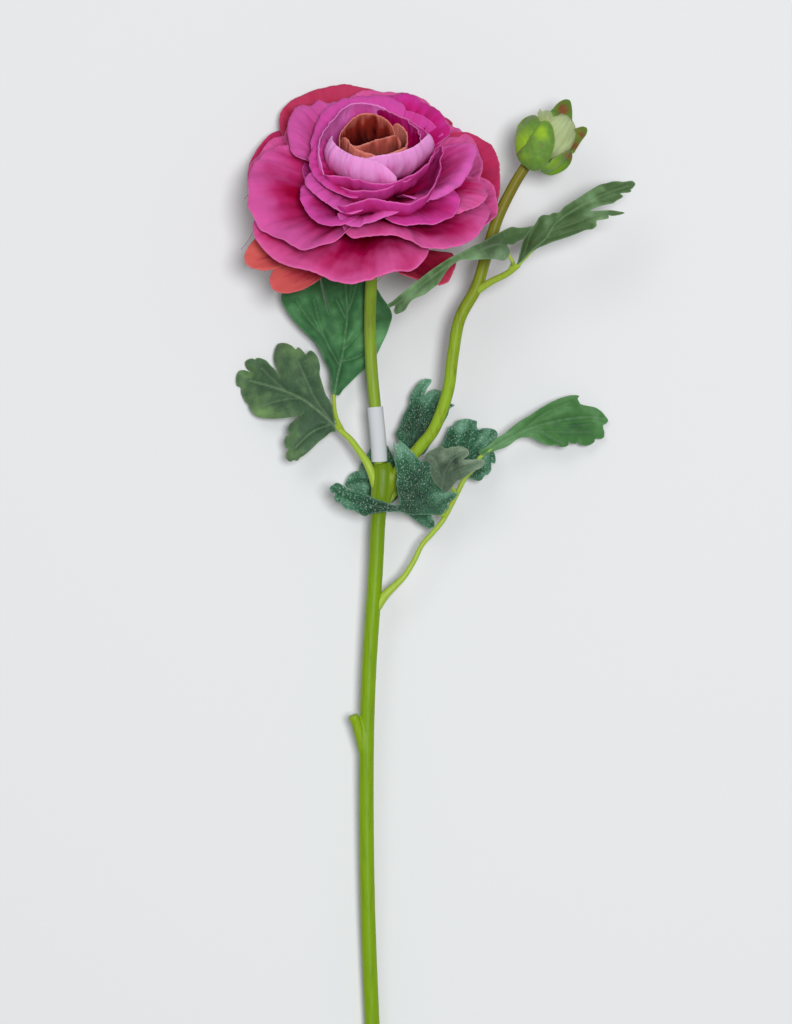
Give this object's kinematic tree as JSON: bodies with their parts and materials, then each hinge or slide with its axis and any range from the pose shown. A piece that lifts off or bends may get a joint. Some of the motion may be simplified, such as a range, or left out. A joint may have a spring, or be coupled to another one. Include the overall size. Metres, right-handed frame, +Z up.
{
  "type": "artificial ranunculus flower spray",
  "caption": "Cut artificial ranunculus spray lying on its back: full double bloom, closed bud and lobed leaflets on a jointed green stem, with a bare paper band.",
  "frame": {"origin": "on the surface that the spray lies on, under the middle of its overall box", "axes": "+X across the spray towards the bud, +Y along the stem from the cut end to the bloom, +Z up from the surface towards the open face of the bloom"},
  "size_m": [0.1435, 0.4575, 0.0832],
  "materials": {
    "stem_plastic": "satin moulded polyethylene",
    "bud_stalk_plastic": "satin moulded polyethylene, brushed with brown paint near the bud",
    "leaf_stalk_plastic": "satin moulded polyethylene",
    "leaf_fabric": "printed polyester cloth, pressed with veins",
    "guard_fabric": "dyed polyester satin, crimson to coral",
    "outer_fabric": "dyed polyester satin, deep magenta to pink",
    "middle_fabric": "dyed polyester satin, magenta to lilac pink",
    "inner_fabric": "dyed polyester satin, pale lilac pink",
    "centre_fabric": "dyed polyester satin, orange brown",
    "bud_fabric": "pale green polyester cloth",
    "sepal_fabric": "green polyester cloth, browned at the edges",
    "calyx_plastic": "satin moulded polyethylene",
    "band_paper": "smooth white label paper"
  },
  "bodies": {
    "root": {"main_stem": "stem_plastic", "bloom_stalk": "stem_plastic", "bud_stalk": "bud_stalk_plastic", "leaf_stalk_bud": "leaf_stalk_plastic", "leaf_stalk_left": "leaf_stalk_plastic", "leaf_stalk_right": "leaf_stalk_plastic", "leaf_stalk_back": "leaf_stalk_plastic", "leaflet_bud_right": "leaf_fabric", "leaflet_bud_left": "leaf_fabric", "leaflet_left_low": "leaf_fabric", "leaflet_left_high": "leaf_fabric", "leaflet_right_end": "leaf_fabric", "leaflet_right_curled": "leaf_fabric", "leaflet_right_front": "leaf_fabric", "leaflet_back_up": "leaf_fabric", "leaflet_back_right": "leaf_fabric", "leaflet_back_left": "leaf_fabric", "leaflet_back_low": "leaf_fabric", "guard_petals": "guard_fabric", "outer_petals": "outer_fabric", "middle_petals": "middle_fabric", "inner_petals": "inner_fabric", "centre_petals": "centre_fabric", "calyx": "calyx_plastic", "bud_petals": "bud_fabric", "bud_sepals": "sepal_fabric", "paper_band": "band_paper"}
  },
  "joints": []
}
